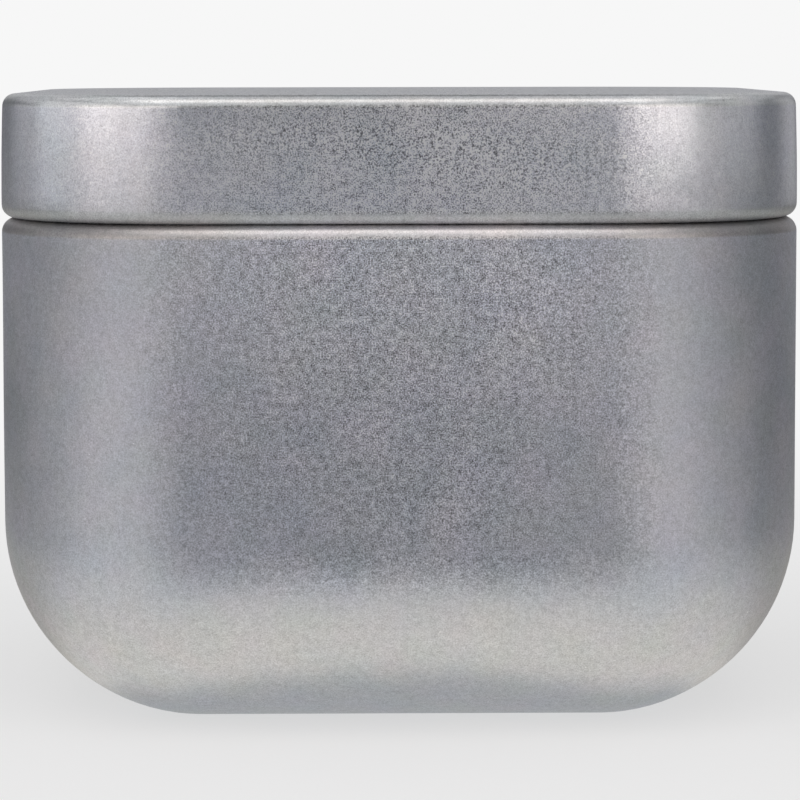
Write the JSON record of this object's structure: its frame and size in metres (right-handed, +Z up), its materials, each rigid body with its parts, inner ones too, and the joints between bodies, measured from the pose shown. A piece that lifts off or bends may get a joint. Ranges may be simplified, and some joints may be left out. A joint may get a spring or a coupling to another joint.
{
  "type": "candle tin",
  "caption": "Rounded-square seamless metal tin with a lift-off slip lid, for pouring and storing a candle.",
  "frame": {"origin": "centre of the base, on the plane the tin stands on", "axes": "+Z up out of the tin's mouth, X and Y square to the flat walls"},
  "size_m": [0.077, 0.077, 0.0608],
  "materials": {
    "body_tinplate": "bare tinplate, satin, finely mottled",
    "lid_tinplate": "bare tinplate, satin, finely mottled"
  },
  "bodies": {
    "tin": {"tin_body": "body_tinplate"},
    "lid": {"lid": "lid_tinplate"}
  },
  "joints": [
    {"name": "lid_lift", "type": "slide", "parent": "tin", "child": "lid", "axis": [0, 0, 1], "range_m": [0, 0.016]}
  ]
}
